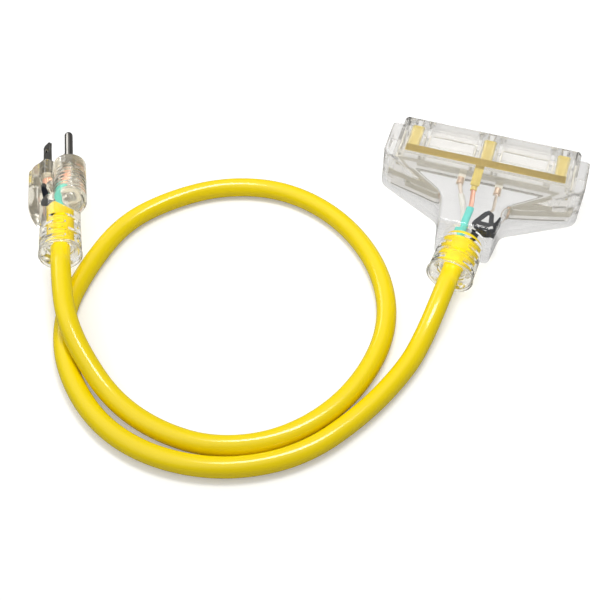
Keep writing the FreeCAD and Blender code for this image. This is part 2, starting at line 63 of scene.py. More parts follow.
# Free cord: a three-conductor service cord, 10.9 mm across. The jacket is extruded yellow PVC over
# a twisted core, so its section is very slightly three-lobed and the lobes wind along it.
MM = 0.001
CORD_RADIUS = 5.45
CORD_LAY = 95.0
CORD_LOBE = 0.07
CORD_SIDES = 48
CORD_STEPS = 14
CORD_ROUTE = [
    (-1.81, -45.61, 13.85), (-3.55, -65.48, 12.45), (-6.5, -87.0, 6.4), (-10.5, -110.0, 5.5),
    (-24.5, -144.0, 5.5), (-47.0, -176.5, 5.5), (-81.0, -195.5, 5.5), (-119.0, -199.3, 5.5),
    (-153.0, -188.0, 5.5), (-182.0, -161.5, 5.5), (-196.4, -130.0, 5.5), (-197.2, -96.0, 5.5),
    (-191.0, -61.0, 5.5), (-173.0, -36.0, 5.5), (-147.0, -16.0, 5.5), (-113.0, -7.8, 5.5),
    (-78.5, -16.6, 5.5), (-49.0, -39.5, 5.5), (-30.5, -70.5, 5.5), (-26.0, -104.0, 5.5),
    (-36.0, -142.0, 5.5), (-59.0, -171.0, 5.5), (-90.0, -185.3, 5.5), (-121.0, -184.5, 5.5),
    (-149.0, -174.0, 5.5), (-173.0, -156.5, 12.6), (-188.4, -140.5, 17.8),
    (-202.14, -116.84, 18.04), (-210.75, -98.79, 18.18),
]


def linear(hexcode):
    """sRGB hex to linear: c / 12.92 below 0.04045, else ((c + 0.055) / 1.055) ** 2.4."""
    parts = [int(hexcode[i:i + 2], 16) / 255 for i in (0, 2, 4)]
    return tuple(c / 12.92 if c < 0.04045 else ((c + 0.055) / 1.055) ** 2.4 for c in parts) + (1.0,)


def add_node(tree, kind, inputs, **settings):
    """Adds one shader node: settings are its own, and inputs are values, the sockets that feed it
    or the nodes whose first output in use does."""
    node = tree.nodes.new("ShaderNode" + kind)
    for name, value in settings.items():
        setattr(node, name, value)
    for name, value in inputs.items():
        if isinstance(value, bpy.types.Node):
            value = next(socket for socket in value.outputs if socket.enabled)
        if isinstance(value, bpy.types.NodeSocket):
            tree.links.new(value, node.inputs[name])
        else:
            node.inputs[name].default_value = value
    return node


def new_material(name):
    """An empty node material, its tree and the object's own coordinates in metres."""
    material = bpy.data.materials.new(name)
    material.use_nodes = True
    tree = material.node_tree
    tree.nodes.clear()
    return material, tree, add_node(tree, "TexCoord", {}).outputs["Object"]


def add_noise(tree, place, scale, detail):
    """Noise over a place, with scale in patches to the metre."""
    return add_node(tree, "TexNoise", {"Vector": place, "Scale": scale, "Detail": detail})


def add_tone(tree, factor, low, high):
    """The colour at a factor between two sRGB hex tones."""
    return add_node(tree, "Mix", {"Factor": factor, "A": linear(low), "B": linear(high)},
                    data_type="RGBA")


def add_surface(tree, kind, inputs):
    """Adds a shader and makes it the material's surface."""
    add_node(tree, "OutputMaterial", {"Surface": add_node(tree, kind, inputs)})


def make_piece(name, points, faces, materials, face_slots=None, uv=None, sharp=40.0, merge=True):
    """A mesh object from points in millimetres and faces of point indices. Doubles are merged,
    normals turned outwards and edges over the sharp angle kept crisp. uv is one pair per point."""
    mesh = bpy.data.meshes.new(name)
    mesh.from_pydata((np.asarray(points, float) * MM).tolist(), [], [list(face) for face in faces])
    for material in materials:
        mesh.materials.append(material)
    if face_slots is not None:
        mesh.polygons.foreach_set("material_index", np.asarray(face_slots, np.int32))
    if uv is not None:
        layer = mesh.uv_layers.new(name="UVMap")
        corner = np.empty(len(mesh.loops), np.int32)
        mesh.loops.foreach_get("vertex_index", corner)
        layer.data.foreach_set("uv", np.asarray(uv, float)[corner].ravel())
    if merge:
        work = bmesh.new()
        work.from_mesh(mesh)
        bmesh.ops.remove_doubles(work, verts=work.verts, dist=2e-6)
        bmesh.ops.dissolve_degenerate(work, dist=1e-7, edges=work.edges)
        bmesh.ops.recalc_face_normals(work, faces=work.faces)
        work.to_mesh(mesh)
        work.free()
    mesh.shade_smooth()
    mesh.set_sharp_from_angle(angle=math.radians(sharp))
    return add_object(name, mesh)


def add_piece(node_name, slot_name, name, *mesh, **options):
    """A finished piece in its place in the part: its body, and the CAD node it stands for, which is
    hidden. slot_name is not used.
    """
    piece = make_piece(name, *mesh, **options)
    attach(piece, "root")
    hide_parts(node_name)
    return piece


def grid_faces(rows, columns, start=0, close_columns=True, close_rows=False):
    """Quads of a grid of points stored row by row: (i, j), (i, j+1), (i+1, j+1), (i+1, j)."""
    i, j = np.meshgrid(np.arange(rows if close_rows else rows - 1),
                       np.arange(columns if close_columns else columns - 1), indexing="ij")
    here, below = i * columns, (i + 1) % rows * columns
    across = (j + 1) % columns
    quads = np.stack([here + j, here + across, below + across, below + j], -1)
    return (quads.reshape(-1, 4) + start).tolist()


def end_faces(rows, columns):
    """The faces that close the first and last row of a grid of points."""
    return [list(range(columns)), list(range((rows - 1) * columns, rows * columns))]


def spots(*coordinates):
    """Points from their coordinates, each of which is an array or one number for all of them."""
    return np.stack(np.broadcast_arrays(*coordinates), -1)


def arc_lengths(line):
    """Length along a line up to each point: the running sum of the distances between points."""
    return np.concatenate([[0], np.cumsum(np.linalg.norm(np.diff(line, axis=0), axis=1))])


def full_turn(count):
    """Equal angles round a whole turn."""
    return np.arange(count) * 2 * math.pi / count


def nurbs_points(name, route, steps):
    """Points in millimetres along the smooth curve of order 3 that the route controls."""
    curve = bpy.data.curves.new(name, "CURVE")
    curve.dimensions = "3D"
    curve.resolution_u = steps
    spline = curve.splines.new("NURBS")
    spline.points.add(len(route) - 1)
    spline.points.foreach_set("co", np.insert(np.array(route) * MM, 3, 1, axis=1).ravel())
    spline.order_u = 3
    spline.use_endpoint_u = True
    holder = add_object(name, curve)
    mesh = bpy.data.meshes.new_from_object(holder)
    line = np.array([vertex.co for vertex in mesh.vertices]) / MM
    bpy.data.objects.remove(holder)
    bpy.data.meshes.remove(mesh)
    return line


def unit(vectors):
    """A vector, or each of several, divided by its length."""
    return vectors / np.linalg.norm(vectors, axis=-1, keepdims=True)


def frames_along(line):
    """Side and up vectors at each point of a line, with the side carried along untwisted: each
    step removes from the last side its part along the new tangent."""
    tangent = unit(np.gradient(line, axis=0))
    side = np.empty_like(line)
    side[0] = unit(np.cross(tangent[0], (0.0, 0.0, 1.0)))
    for k in range(1, len(line)):
        side[k] = unit(side[k - 1] - tangent[k] * (side[k - 1] @ tangent[k]))
    return side, np.cross(side, tangent)


def tube_surface(line, radius, around):
    """A round surface along a line: p = line + r (side cos t + up sin t), with radius a number or
    an array (rows, around). Gives points, faces and a uv of (arc length, turn)."""
    side, up = frames_along(line)
    turn = full_turn(around)
    ring = side[:, None] * np.cos(turn)[None, :, None] + up[:, None] * np.sin(turn)[None, :, None]
    points = line[:, None] + ring * np.asarray(radius)[..., None]
    run = arc_lengths(line)
    uv = spots(run[:, None] / 100, turn[None] / (2 * math.pi))
    first, last = end_faces(len(line), around)
    faces = grid_faces(len(line), around) + [first[::-1], last]
    return points.reshape(-1, 3), faces, uv.reshape(-1, 2)


# Extruded flexible PVC: an even strong yellow with a soft shine. Patches 22 mm wide shift its tone
# a little, and specks of 1 mm, drawn coarser than the real grain, make the shine uneven.
jacket_yellow, tree, place = new_material("jacket_yellow")
cloud = add_noise(tree, place, 45.0, 4.0)
speck = add_noise(tree, place, 900.0, 3.0)
dull = add_node(tree, "MapRange", {
    "Value": speck, "From Min": 0.35, "From Max": 0.7, "To Min": 0.14, "To Max": 0.20})
grain = add_node(tree, "Bump", {"Height": speck, "Strength": 0.05, "Distance": 0.00008})
add_surface(tree, "BsdfPrincipled", {
    "Base Color": add_tone(tree, cloud, "EFD200", "F6DC00"), "Roughness": dull,
    "IOR": 1.53, "Normal": grain})

# Inside the mouldings the same PVC is bonded to clear PVC of nearly its own index: no gloss.
jacket_bonded, tree, place = new_material("jacket_bonded")
cloud = add_noise(tree, place, 160.0, 4.0)
add_surface(tree, "BsdfPrincipled", {
    "Base Color": add_tone(tree, cloud, "EDCB00", "FBE300"), "Roughness": 0.6, "IOR": 1.05})

cord_line = nurbs_points("cord_route", CORD_ROUTE, CORD_STEPS)
twist = 2 * math.pi * arc_lengths(cord_line)[:, None] / CORD_LAY
lobes = CORD_LOBE * (1 - np.cos(3 * full_turn(CORD_SIDES)[None] - twist))
points, faces, uv = tube_surface(cord_line, CORD_RADIUS - lobes, CORD_SIDES)
cord = add_piece("cord", "yellow_jacket", "free_cord", points, faces, [jacket_yellow], uv=uv,
                 merge=False)


# Head core: an injection moulding in clear polycarbonate. Its collar is the head's front, with a
# narrow slot, a wide slot and a round hole for each outlet, and a cell for the brass behind each.
FACE_Y = 52.0608
PITCH = 43.4
OUTLETS = (-PITCH, 0.0, PITCH)
SLOT_X = 6.35
SLOT_HALF = 1.0
HOT_HALF, NEUTRAL_HALF = 3.5, 4.3
ROW_Z = 9.375
HOLE_Z = 21.275
HOLE_RADIUS = 2.65
HOLE_EASE = 0.35
HOLE_SQUARE = 4.0
BLADE_CELL = (2.1, 3.5)
CLIP_CELL, CLIP_CELL_Z = (3.75, 3.2), 21.52
FRONT_WALL = 4.5
CELL_BACK = 25.8
CORE_HALF = 52.8
CORE_CORNER, CORE_EASE = 3.0, 0.9
COLLAR_DEPTH = 8.0
COLLAR_LOW, COLLAR_HIGH = 0.8, 28.2
REAR_LOW, REAR_HIGH = 3.475, 25.525
REAR_CORNER, REAR_EASE = 1.5, 0.8
REAR_MIDDLE, CHAMBER_BACK = 20.0, 31.0
QUARTER = math.pi / 2


def glass_material(name, tint, shadow_tint, ior, roughness, clear, patches, ripple):
    """A clear moulding: a Principled surface that bends light, and lets lamps through, tinted.
    patches to the metre carry the tint and a ripple of that height in metres."""
    material, tree, place = new_material(name)
    flow = add_noise(tree, place, patches, 2.0)
    wave = add_node(tree, "Bump", {"Height": flow, "Strength": 1.0, "Distance": ripple})
    body = add_node(tree, "BsdfPrincipled", {
        "Base Color": add_tone(tree, flow, *tint), "Roughness": roughness, "IOR": ior,
        "Transmission Weight": clear, "Normal": wave})
    open_way = add_node(tree, "BsdfTransparent", {"Color": linear(shadow_tint)})
    path = add_node(tree, "LightPath", {})
    add_surface(tree, "MixShader", {0: path.outputs["Is Shadow Ray"], 1: body, 2: open_way})
    return material


# Clear PVC and clear polycarbonate: nearly colourless, with faint flow ripples 12-25 mm wide that
# soften what is seen through them. The plug's PVC is a little warmer, the sleeves' clearer.
clear_pvc = glass_material(
    "clear_pvc", ("F0EFED", "F7F6F5"), "F0EFEC", 1.53, 0.07, 0.95, 60.0, 0.0003)
clear_sleeve = glass_material(
    "clear_sleeve", ("F1F0EA", "F8F7F3"), "F2F1EC", 1.50, 0.05, 0.97, 80.0, 0.0002)
plug_pvc = glass_material(
    "clear_plug_pvc", ("F5EFDF", "FAF5E8"), "EFECE2", 1.53, 0.08, 0.93, 80.0, 0.0003)
clear_core = glass_material(
    "clear_polycarbonate", ("E8E7E4", "F0EFED"), "EEEDEA", 1.58, 0.12, 0.97, 40.0, 0.0002)

# Polycarbonate with PVC moulded onto it: 1.58 over 1.53 leaves only a faint line. Where two
# mouldings are one body of PVC, nothing shows.
moulded_in = glass_material(
    "moulded_in_line", ("F6F5F3", "FBFAF8"), "F8F8F6", 1.04, 0.20, 0.95, 90.0, 0.0002)
bonded, tree, place = new_material("bonded")
add_surface(tree, "BsdfTransparent", {})


def rounded_loop(half, low, high, corner_x, corner_z, x_share, z_share, arc=6):
    """A rounded rectangle in (x, z), counter-clockwise from the low left: each side has points at
    the given shares of its straight part, and each corner is a quarter ellipse."""
    inner = half - corner_x
    bottom, top = low + corner_z, high - corner_z
    xs = inner * np.asarray(x_share)
    zs = bottom + (top - bottom) * np.asarray(z_share)
    t = np.linspace(0, QUARTER, arc + 2)[1:-1]
    cx, cz = corner_x * np.sin(t), corner_z * np.cos(t)
    right = np.concatenate([spots(inner + cx, bottom - cz), spots(half, zs),
                            spots(inner + cx[::-1], top + cz[::-1])])
    return np.concatenate([spots(xs, low), right, spots(xs[::-1], high), right[::-1] * (-1, 1)])


def stack_loops(loops, depths):
    """Rows of 3-D points from plane loops, each at its depth behind the outlet face."""
    return np.concatenate([spots(loop[:, 0], FACE_Y - depth, loop[:, 1])
                           for loop, depth in zip(loops, depths)])


# The front wall is a grid whose lines run along every slot edge. The hole's square is left out of
# it and filled with a ring from the square to the circle.
square_steps = np.linspace(-HOLE_SQUARE, HOLE_SQUARE, 9)
wall_xs = [-CORE_HALF + CORE_CORNER, CORE_HALF - CORE_CORNER]
wall_zs = [COLLAR_LOW + CORE_CORNER, COLLAR_HIGH - CORE_CORNER]
slot_boxes = []
for x in OUTLETS:
    wall_xs += list(x + square_steps)
    for slot_x, half in ((x + SLOT_X, HOT_HALF), (x - SLOT_X, NEUTRAL_HALF)):
        wall_xs += [slot_x - SLOT_HALF, slot_x + SLOT_HALF]
        slot_boxes.append((slot_x, half))
wall_zs += [ROW_Z - HOT_HALF, ROW_Z + HOT_HALF, ROW_Z - NEUTRAL_HALF, ROW_Z + NEUTRAL_HALF]
wall_zs += list(HOLE_Z + square_steps)
wall_xs = np.unique(np.round(wall_xs, 4))
wall_zs = np.unique(np.round(wall_zs, 4))
columns = len(wall_zs)
front_x, front_z = np.meshgrid(wall_xs, wall_zs, indexing="ij")
core_rows = [spots(front_x.ravel(), FACE_Y, front_z.ravel())]
core_faces, core_slots = [], []
for i, x in enumerate((wall_xs[:-1] + wall_xs[1:]) / 2):
    for j, z in enumerate((wall_zs[:-1] + wall_zs[1:]) / 2):
        in_slot = any(abs(x - bx) < SLOT_HALF and abs(z - ROW_Z) < hh for bx, hh in slot_boxes)
        in_hole = abs(z - HOLE_Z) < HOLE_SQUARE and any(abs(x - hx) < HOLE_SQUARE for hx in OUTLETS)
        if not in_slot and not in_hole:
            here, onward = i * columns + j, (i + 1) * columns + j
            core_faces.append([here, onward, onward + 1, here + 1])
            core_slots.append(0)


def edge_loop(x, z, half_x, half_z):
    """The wall grid's points round a rectangle, counter-clockwise from its low left corner."""
    x0, x1, z0, z1 = x - half_x, x + half_x, z - half_z, z + half_z
    xs = wall_xs[(wall_xs > x0 - 1e-3) & (wall_xs < x1 + 1e-3)]
    zs = wall_zs[(wall_zs > z0 - 1e-3) & (wall_zs < z1 + 1e-3)]
    loop = [(x, z0) for x in xs] + [(x1, z) for z in zs[1:]]
    loop += [(x, z1) for x in xs[::-1][1:]] + [(x0, z) for z in zs[::-1][1:-1]]
    return np.array(loop)


def add_layers(loops, depths, slots):
    """Adds to the core its loops at their depths, joined by quads, and a flat face on the last.
    slots has the material of each band of quads, then of the flat face."""
    start = sum(len(row) for row in core_rows)
    count = len(loops[0])
    core_rows.append(stack_loops(loops, depths))
    core_faces.extend(grid_faces(len(loops), count, start))
    core_faces.append([start + k for k in end_faces(len(loops), count)[1]])
    core_slots.extend(np.repeat(slots, [count] * (len(loops) - 1) + [1]).tolist())


for x, half in slot_boxes:
    mouth = edge_loop(x, ROW_Z, SLOT_HALF, half)
    reach = mouth - (x, ROW_Z)
    cell = (x, ROW_Z) + reach * (BLADE_CELL[0] / SLOT_HALF, BLADE_CELL[1] / half)
    add_layers([mouth, mouth, cell, cell], [0, FRONT_WALL, FRONT_WALL, CELL_BACK], [2] * 4)
for x in OUTLETS:
    square = edge_loop(x, HOLE_Z, HOLE_SQUARE, HOLE_SQUARE)
    reach = square - (x, HOLE_Z)
    circle = (x, HOLE_Z) + unit(reach) * HOLE_RADIUS
    lip = (x, HOLE_Z) + unit(reach) * (HOLE_RADIUS + HOLE_EASE)
    cell = (x, CLIP_CELL_Z) + reach * CLIP_CELL / HOLE_SQUARE
    add_layers([square, lip, circle, circle, cell, cell],
               [0, 0, HOLE_EASE, FRONT_WALL, FRONT_WALL, CELL_BACK], [2] * 6)

# The collar's sides, the step down to the rear body and the rear body itself
share_x = wall_xs / (CORE_HALF - CORE_CORNER)
share_z = (wall_zs - wall_zs[0]) / (wall_zs[-1] - wall_zs[0])


def core_loop(half, low, high, corner):
    """A rounded rectangle of the core with points in line with the front wall's grid."""
    return rounded_loop(half, low, high, corner, corner, share_x, share_z)


outer_loops = [core_loop(CORE_HALF - CORE_CORNER, COLLAR_LOW + CORE_CORNER,
                         COLLAR_HIGH - CORE_CORNER, 0.0)]
outer_depths = [0.0]
for t in np.linspace(0, 1, 5):
    grow = -CORE_EASE * (1 - math.sin(t * QUARTER))
    outer_loops.append(core_loop(CORE_HALF + grow, COLLAR_LOW - grow, COLLAR_HIGH + grow,
                                 CORE_CORNER + grow))
    outer_depths.append(CORE_EASE * (1 - math.cos(t * QUARTER)))
outer_loops.append(core_loop(CORE_HALF, COLLAR_LOW, COLLAR_HIGH, CORE_CORNER))
collar_bands = len(outer_loops) - 1
outer_loops += [core_loop(CORE_HALF, REAR_LOW, REAR_HIGH, REAR_CORNER)] * 3
outer_loops.append(core_loop(CORE_HALF - REAR_EASE, REAR_LOW + REAR_EASE, REAR_HIGH - REAR_EASE,
                             REAR_CORNER))
outer_depths += [COLLAR_DEPTH, COLLAR_DEPTH, REAR_MIDDLE, CHAMBER_BACK - REAR_EASE, CHAMBER_BACK]
add_layers(outer_loops, outer_depths, [0] * collar_bands + [1] * 5)
add_piece("receptacle_core", "clear_core", "outlet_core", np.concatenate(core_rows), core_faces,
          [clear_core, moulded_in, clear_core], core_slots, sharp=35.0)


def metal_material(name, low, high, rough_low, rough_high):
    """Metal in a colour between two tones, with roughness driven by fine lines along y."""
    material, tree, place = new_material(name)
    stretch = add_node(tree, "Mapping", {"Vector": place, "Scale": (1.0, 0.15, 1.0)})
    lines = add_noise(tree, stretch, 1600.0, 3.0)
    cloud = add_noise(tree, place, 220.0, 3.0)
    sheen = add_node(tree, "MapRange", {"Value": lines, "From Min": 0.3, "From Max": 0.7,
                                        "To Min": rough_low, "To Max": rough_high})
    dent = add_node(tree, "Bump", {"Height": lines, "Strength": 0.15, "Distance": 0.0001})
    add_surface(tree, "BsdfPrincipled", {
        "Base Color": add_tone(tree, cloud, low, high), "Metallic": 1.0, "Roughness": sheen,
        "Normal": dent})
    return material


# Brass for the contacts: stamped cartridge brass strip. Rolling lines 0.6 mm wide and patches of
# 4.5 mm, drawn coarser than the real ones, give it a warm, dull, slightly uneven face.
brass = metal_material("stamped_brass", "E0D283", "EBDF9E", 0.85, 1.0)
STRIP = 0.8
STRIP_LOW, STRIP_HIGH = 24.725, 25.525
CLIP_HALF = 3.45
BAR_FRONT, BAR_BACK = 21.8, 27.4
TAIL_LEFT, TAIL_RIGHT, TAIL_FRONT, TAIL_BACK = -4.6, 0.6, 27.3, 44.0


def bar_surface(x0, x1, d0, d1, z0, z1, edge=0.15):
    """A bar with eased edges: its six sides, each shrunk by the edge, joined by bevels. Corner c
    of the box has bit k set where it is high along axis k, and each axis has its own eight."""
    low, high = np.array([x0, FACE_Y - d1, z0]), np.array([x1, FACE_Y - d0, z1])
    bits = np.array([[corner >> k & 1 for k in range(3)] for corner in range(8)])
    full = np.where(bits, high, low)
    shrunk = full + np.where(bits, -edge, edge)
    points = np.concatenate([np.where(np.arange(3) == axis, full, shrunk) for axis in range(3)])
    faces = []
    others = [(2, 4), (1, 4), (1, 2)]
    for axis, (a, b) in enumerate(others):
        for base in (0, 1 << axis):
            faces.append([axis * 8 + base + step for step in (0, a, a + b, b)])
    for axis, (a, b) in enumerate(others):
        to_a, to_b, far = 8 * (a >> 1), 8 * (b >> 1), 1 << axis
        for base in (0, b, a, a + b):
            faces.append([to_a + base, to_a + base + far, to_b + base + far, to_b + base])
    faces += [[corner, 8 + corner, 16 + corner] for corner in range(8)]
    return points, faces


def merge_surfaces(parts):
    """Several (points, faces) surfaces as one."""
    points, faces = [], []
    for part_points, part_faces in parts:
        start = len(points)
        points.extend(np.asarray(part_points).tolist())
        faces.extend([[start + k for k in face] for face in part_faces])
    return points, faces


points, faces = merge_surfaces([
    bar_surface(-PITCH - CLIP_HALF, PITCH + CLIP_HALF, BAR_FRONT, BAR_BACK, STRIP_LOW, STRIP_HIGH),
    bar_surface(TAIL_LEFT, TAIL_RIGHT, TAIL_FRONT, TAIL_BACK, STRIP_LOW, STRIP_HIGH)])
add_piece("ground_bus_bar", "brass", "ground_bar", points, faces, [brass], sharp=60.0)


def clip_surface(x, steps=10):
    """A ground clip: a strip bent into an upturned channel, its front end flared. The section is a
    centre line (down one side, round a bend, across, round, down) offset half the strip each way.
    It is drawn 3 % narrower than its cell."""
    bend = 1.0
    half, low, high = CLIP_HALF - STRIP / 2, 18.7, STRIP_LOW - STRIP / 2
    t = np.linspace(0, QUARTER, steps)
    right = spots(half - bend + bend * np.cos(t), high - bend + bend * np.sin(t))
    left = spots(-half + bend - bend * np.sin(t), high - bend + bend * np.cos(t))
    middle = np.concatenate([[(half, low)], right, left, [(-half, low)]])
    way = unit(np.gradient(middle, axis=0))
    normal = spots(-way[:, 1], way[:, 0])
    ring = np.concatenate([middle + normal * STRIP / 2, (middle - normal * STRIP / 2)[::-1]])
    loops = []
    depths = [4.85, 5.3, 6.2, 7.4, 25.7]
    for flare in (0.45, 0.4, 0.2, 0.0, 0.0):
        wide = ring[:, 0] * (1 + flare / CLIP_HALF) * 0.97
        loops.append(spots(x + wide, ring[:, 1]))
    faces = grid_faces(len(depths), len(ring)) + end_faces(len(depths), len(ring))
    return stack_loops(loops, depths), faces


PLACES = ("left", "centre", "right")
for place_name, x in zip(PLACES, OUTLETS):
    add_piece("ground_contact_" + place_name, "brass", "ground_clip_" + place_name,
              *clip_surface(x), [brass], sharp=50.0)


def repaint(node_name, material):
    """Gives a CAD node that stays in view a finished material."""
    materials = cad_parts[node_name].data.materials
    materials.clear()
    materials.append(material)


# Tinned brass: the pale contacts and strips low in the core, which show only as a light haze
tinned = metal_material("tinned_brass", "DEDBD2", "E9E7E0", 0.65, 0.80)
for kind in ("hot", "neutral"):
    repaint(kind + "_bus_bar", tinned)
    for place_name in PLACES:
        repaint(kind + "_contact_" + place_name, tinned)
repaint("core_cover", moulded_in)


# Head moulding: clear flexible PVC shot round the core and the cable. It is one thick body with
# straight sides, shoulders that slope back and a neck block for the wires.
HEAD_TOP, HEAD_HALF = 29.0, 58.5
HEAD_CORNER, HEAD_CORNER_MOST = 2.4, 6.0
HEAD_EASE = 0.7
SHOULDER_PLAN = [(COLLAR_DEPTH, HEAD_HALF), (33.5, HEAD_HALF), (56.0, 18.5), (77.0, 15.5)]
SHOULDER_RADII = [8.0, 9.0]
NECK_HALF, NECK_LEAN, NECK_EASE = 15.7, 0.2, 1.8
NECK_START, NECK_BACK = 75.2, 77.0
SLEEVE_ROOT = np.array([0.0, FACE_Y - NECK_BACK, 15.3])
HEAD_SLEEVE = (25.8, 12.2, 13.3)


def rounded_polyline(corners, radii, arc=8):
    """A polyline with its inner corners replaced by arcs: each arc starts r tan(turn / 2) before
    the corner and its points lie on the circle that touches both runs."""
    corners = np.asarray(corners, float)
    points = [corners[0]]
    for before, corner, after, radius in zip(corners, corners[1:], corners[2:], radii):
        back, onward = unit(before - corner), unit(after - corner)
        half = (math.pi - math.acos(np.clip(back @ onward, -1, 1))) / 2
        cut = radius * math.tan(half)
        centre = corner + unit(back + onward) * radius / math.cos(half)
        start, end = corner + back * cut - centre, corner + onward * cut - centre
        for share in np.linspace(0, 1, arc):
            spot = start * math.sin((1 - share) * 2 * half) + end * math.sin(share * 2 * half)
            points.append(centre + spot / math.sin(2 * half))
    points.append(corners[-1])
    return np.array(points)


def resample(points, step):
    """The same polyline with a point at least every step, its own points kept."""
    rows = [points[:1]]
    for a, b in zip(points, points[1:]):
        count = max(1, math.ceil(np.linalg.norm(b - a) / step))
        rows.append(a + (b - a) * (np.arange(1, count + 1) / count)[:, None])
    return np.concatenate(rows)


shell_x = np.linspace(-1, 1, 41)
shell_z = np.linspace(0, 1, 9)


def head_loop(half, ease, corner_x=HEAD_CORNER):
    """A section of the head's body of a half width, shrunk at its floor and top by an ease."""
    return rounded_loop(half, ease, HEAD_TOP - ease, corner_x, HEAD_CORNER, shell_x, shell_z)


# Along the shoulders the side's rounding, seen square to the slope, keeps its width
outline = resample(rounded_polyline(SHOULDER_PLAN, SHOULDER_RADII, 14), 1.5)
slope = np.gradient(outline[:, 1]) / np.gradient(outline[:, 0])
edge_x = np.clip(HEAD_CORNER * np.sqrt(1 + slope ** 2), HEAD_CORNER, HEAD_CORNER_MOST)
mould_loops = [rounded_loop(CORE_HALF, COLLAR_LOW, COLLAR_HIGH, CORE_CORNER, CORE_CORNER,
                            shell_x, shell_z)]
mould_depths = [COLLAR_DEPTH]
for t in np.linspace(0, 1, 6):
    ease = HEAD_EASE * (1 - math.sin(t * QUARTER))
    mould_loops.append(head_loop(HEAD_HALF - ease, ease))
    mould_depths.append(COLLAR_DEPTH + HEAD_EASE * (1 - math.cos(t * QUARTER)))
for (depth, half), corner in zip(outline, edge_x):
    if COLLAR_DEPTH + 0.8 < depth < NECK_START:
        mould_loops.append(head_loop(half, 0.0, corner))
        mould_depths.append(depth)
for t in np.linspace(0, 1, 7):
    ease = NECK_EASE * (1 - math.cos(t * QUARTER))
    mould_loops.append(head_loop(NECK_HALF - NECK_LEAN * t - ease, ease))
    mould_depths.append(NECK_START + NECK_EASE * math.sin(t * QUARTER))
last = mould_loops[-1] - (0.0, SLEEVE_ROOT[2])
mould_loops.append((0.0, SLEEVE_ROOT[2]) + unit(last) * HEAD_SLEEVE[1])
mould_depths.append(NECK_BACK)
faces = grid_faces(len(mould_loops), len(last))
slots = [0] * len(faces) + [1, 1]
faces += end_faces(len(mould_loops), len(last))
add_piece("head_overmould", "clear_moulding", "head_moulding",
          stack_loops(mould_loops, mould_depths), faces, [clear_pvc, bonded], slots)


# Strain reliefs: the same clear PVC, moulded on the jacket. Each has slots part of the way round on
# alternate sides so that it bends, and ends in a thin flared lip round a bell-shaped hollow.
BELL_DEPTH = 5.0
SLOT_WIDTH, SLOT_DEPTH, SLOT_PITCH, SLOT_ANGLE = 1.6, 3.0, 5.0, 130.0
SLOT_COUNT = 4
SLOT_EASE = 0.12
LIP_RADIUS = 0.5


def smooth_step(value):
    """3 v^2 - 2 v^3 for v clipped to 0..1."""
    v = np.clip(value, 0, 1)
    return v * v * (3 - 2 * v)


def sleeve_surface(length, root, rim, origin, way, up, around=120):
    """A sleeve of a length, with its radii at root and rim, turned about its axis: r(z) is a cone
    that ends in a rounded lip, then the bell back to its floor. Outside, r loses the slot's depth
    where both the slot's band along the axis and its window of angle hold."""
    floor = length - BELL_DEPTH
    slots_at = [floor - SLOT_WIDTH - row * SLOT_PITCH for row in range(SLOT_COUNT)]
    heights = list(np.arange(0, length - 1.0, 0.7))
    for level in slots_at:
        for edge in (level, level + SLOT_WIDTH):
            heights += [edge - 0.35, edge - SLOT_EASE, edge + SLOT_EASE, edge + 0.35]
    heights = np.unique(np.round([h for h in heights if 0 <= h <= length - 1.0], 3))
    neck = root + (rim - root) * 0.5
    radius = np.interp(heights, [0, 2, length - 2, length], [root, root, neck, rim])
    turn = full_turn(around)
    rows = np.repeat(radius[:, None], around, 1)
    for row, level in enumerate(slots_at):
        opening = smooth_step((heights - level + SLOT_EASE) / (2 * SLOT_EASE))
        closing = smooth_step((level + SLOT_WIDTH + SLOT_EASE - heights) / (2 * SLOT_EASE))
        centre = QUARTER * (row % 2)
        off = np.abs((turn - centre + QUARTER) % math.pi - QUARTER)
        window = smooth_step((math.radians(SLOT_ANGLE / 2) - off) / math.radians(5) + 0.5)
        depth = (radius - (root - SLOT_DEPTH)) * (opening * closing)
        rows -= depth[:, None] * window[None, :]
    lip_t = np.linspace(0, math.pi, 9)
    lip_r = rim - LIP_RADIUS + LIP_RADIUS * np.cos(lip_t)
    lip_z = length - LIP_RADIUS + LIP_RADIUS * np.sin(lip_t)
    bell_r = np.array([rim - 1.0, 9.8, 8.2, 7.4, 6.6, 5.2, 0.05])
    bell_z = np.array([length - 1.2, floor + 2.2, floor + 0.9, floor + 0.3, floor, floor, floor])
    inner_r = np.repeat(np.concatenate([lip_r, bell_r])[:, None], around, 1)
    all_r = np.concatenate([rows, inner_r])
    all_z = np.concatenate([heights, lip_z, bell_z])
    side = np.cross(way, up)
    ring = side * np.cos(turn)[None, :, None] + up * np.sin(turn)[None, :, None]
    points = origin + way * all_z[:, None, None] + ring * all_r[..., None]
    faces = grid_faces(len(all_z), around)
    slots = [0] * len(faces) + [1, 0]
    return points.reshape(-1, 3), faces + end_faces(len(all_z), around), slots


yaw, droop = math.radians(5.0), math.radians(4.0)
HEAD_WAY = np.array([-math.sin(yaw) * math.cos(droop), -math.cos(yaw) * math.cos(droop),
                     -math.sin(droop)])
head_side = unit(np.cross(HEAD_WAY, (0, 0, 1.0)))
HEAD_UP = np.cross(head_side, HEAD_WAY)
points, faces, slots = sleeve_surface(*HEAD_SLEEVE, SLEEVE_ROOT, HEAD_WAY, HEAD_UP)
add_piece("head_strain_relief", "clear_moulding", "head_sleeve", points, faces,
          [clear_sleeve, bonded], slots, sharp=30.0)


# Wires in the head: PVC insulation in black, white and green over stranded copper, stripped where
# they enter the crimps. The jacket is cut back inside the neck.
WIRE_RADIUS = 2.1
COPPER_RADIUS = 1.4
CRIMP_RADIUS = 1.9
CLEAR_JACKET, CLEAR_RUN = 6.1, 21.3


